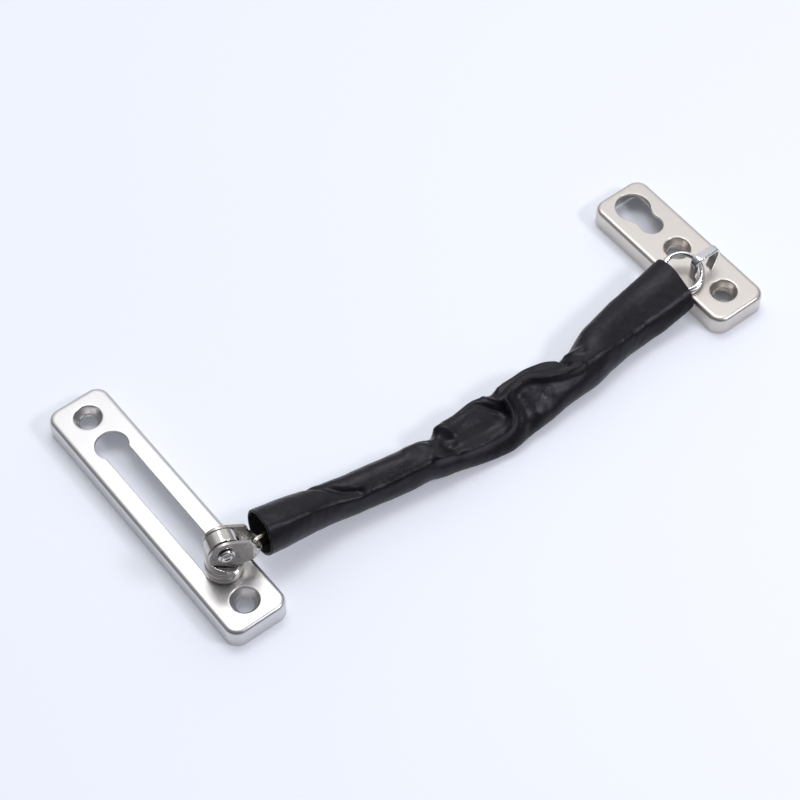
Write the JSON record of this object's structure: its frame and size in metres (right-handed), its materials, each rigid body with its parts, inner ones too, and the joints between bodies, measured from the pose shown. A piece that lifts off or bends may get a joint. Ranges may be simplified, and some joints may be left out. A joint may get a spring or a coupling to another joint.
{
  "type": "door chain guard",
  "caption": "Door chain guard: a slotted plate with a swivelling slider, joined by a chain in a leather sleeve and a split ring to an anchor plate with an eye.",
  "frame": {"origin": "centre of the whole part's box, on the plane of the plates' open backs", "axes": "+X from the slotted plate to the anchor plate, across both plates; +Y along the plates, from the slot's closed end to its entry hole; +Z out of the plates' faces"},
  "size_m": [0.2096, 0.1022, 0.0259],
  "materials": {
    "plate_steel": "satin stainless steel",
    "anchor_steel": "satin stainless steel, slightly warm",
    "wire_steel": "polished steel",
    "slider_nickel": "polished nickel plate",
    "chain_nickel": "bright nickel plate, slightly yellow",
    "leather": "black, fine grain, semi-gloss"
  },
  "bodies": {
    "slot_plate": {"slot_plate": "plate_steel"},
    "slider": {"slider_button": "slider_nickel", "slider_washer": "slider_nickel"},
    "swivel": {"swivel_head": "slider_nickel", "pivot_rivet": "slider_nickel"},
    "yoke": {"yoke": "slider_nickel"},
    "link_01": {"chain_link_01": "chain_nickel", "sleeve_part_01": "leather"},
    "link_02": {"chain_link_02": "chain_nickel", "sleeve_part_02": "leather"},
    "link_03": {"chain_link_03": "chain_nickel", "sleeve_part_03": "leather"},
    "link_04": {"chain_link_04": "chain_nickel", "sleeve_part_04": "leather"},
    "link_05": {"chain_link_05": "chain_nickel", "sleeve_part_05": "leather"},
    "link_06": {"chain_link_06": "chain_nickel", "sleeve_part_06": "leather"},
    "link_07": {"chain_link_07": "chain_nickel", "sleeve_part_07": "leather"},
    "link_08": {"chain_link_08": "chain_nickel", "sleeve_part_08": "leather"},
    "link_09": {"chain_link_09": "chain_nickel", "sleeve_part_09": "leather"},
    "link_10": {"chain_link_10": "chain_nickel", "sleeve_part_10": "leather"},
    "link_11": {"chain_link_11": "chain_nickel", "sleeve_part_11": "leather"},
    "ring": {"end_ring": "wire_steel"},
    "anchor": {"anchor_plate": "anchor_steel", "anchor_eye": "wire_steel"}
  },
  "joints": [
    {"name": "slider_slide", "type": "slide", "parent": "slot_plate", "child": "slider", "axis": [0, 1, 0], "range_m": [0, 0.0575]},
    {"name": "head_swivel", "type": "hinge", "parent": "slider", "child": "swivel", "pos_m": [-0.09296, -0.02854, 0.0085], "axis": [0, 0, 1], "range_deg": [-28, 28]},
    {"name": "yoke_tilt", "type": "hinge", "parent": "swivel", "child": "yoke", "pos_m": [-0.09296, -0.02854, 0.0205], "axis": [-0.2504, -0.9681, 0], "range_deg": [-3, 110]},
    {"name": "link_01_swing", "type": "hinge", "parent": "yoke", "child": "link_01", "pos_m": [-0.08274, -0.03118, 0.01479], "axis": [0.2504, 0.9681, 0], "range_deg": [-55, 18]},
    {"name": "link_02_turn", "type": "hinge", "parent": "link_01", "child": "link_02", "pos_m": [-0.06989, -0.02903, 0.01117], "axis": [0.1799, -0.0091, 0.9836], "range_deg": [-20, 20]},
    {"name": "link_03_swing", "type": "hinge", "parent": "link_02", "child": "link_03", "pos_m": [-0.0549, -0.0293, 0.00799], "axis": [0.0834, 0.9965, 0], "range_deg": [-20, 20]},
    {"name": "link_04_turn", "type": "hinge", "parent": "link_03", "child": "link_04", "pos_m": [-0.03981, -0.03155, 0.00665], "axis": [0.0534, -0.0088, 0.9985], "range_deg": [-20, 20]},
    {"name": "link_05_swing", "type": "hinge", "parent": "link_04", "child": "link_05", "pos_m": [-0.02474, -0.03429, 0.00633], "axis": [-0.1504, -0.9886, 0], "range_deg": [-20, 20]},
    {"name": "link_06_turn", "type": "hinge", "parent": "link_05", "child": "link_06", "pos_m": [-0.00953, -0.03616, 0.00633], "axis": [0, 0, 1], "range_deg": [-20, 20]},
    {"name": "link_07_swing", "type": "hinge", "parent": "link_06", "child": "link_07", "pos_m": [0.00575, -0.03723, 0.00633], "axis": [0.0419, 0.9991, 0], "range_deg": [-20, 20]},
    {"name": "link_08_turn", "type": "hinge", "parent": "link_07", "child": "link_08", "pos_m": [0.02107, -0.03744, 0.00633], "axis": [0, 0, 1], "range_deg": [-20, 20]},
    {"name": "link_09_swing", "type": "hinge", "parent": "link_08", "child": "link_09", "pos_m": [0.03636, -0.03648, 0.00633], "axis": [0.095, -0.9955, 0], "range_deg": [-20, 20]},
    {"name": "link_10_turn", "type": "hinge", "parent": "link_09", "child": "link_10", "pos_m": [0.05155, -0.03453, 0.0066], "axis": [-0.0389, -0.0055, 0.9992], "range_deg": [-20, 20]},
    {"name": "link_11_swing", "type": "hinge", "parent": "link_10", "child": "link_11", "pos_m": [0.06666, -0.03219, 0.00754], "axis": [-0.1461, 0.9893, 0], "range_deg": [-20, 20]},
    {"name": "ring_swing", "type": "hinge", "parent": "link_11", "child": "ring", "pos_m": [0.0817, -0.03008, 0.00956], "axis": [-0.1392, 0.9903, 0], "range_deg": [-15, 10], "deforming": ["sleeve_part_11"]},
    {"name": "anchor_turn", "type": "hinge", "parent": "ring", "child": "anchor", "pos_m": [0.0924, -0.03154, 0.0113], "axis": [-0.2439, -0.9267, -0.2859], "range_deg": [0, 110]}
  ]
}
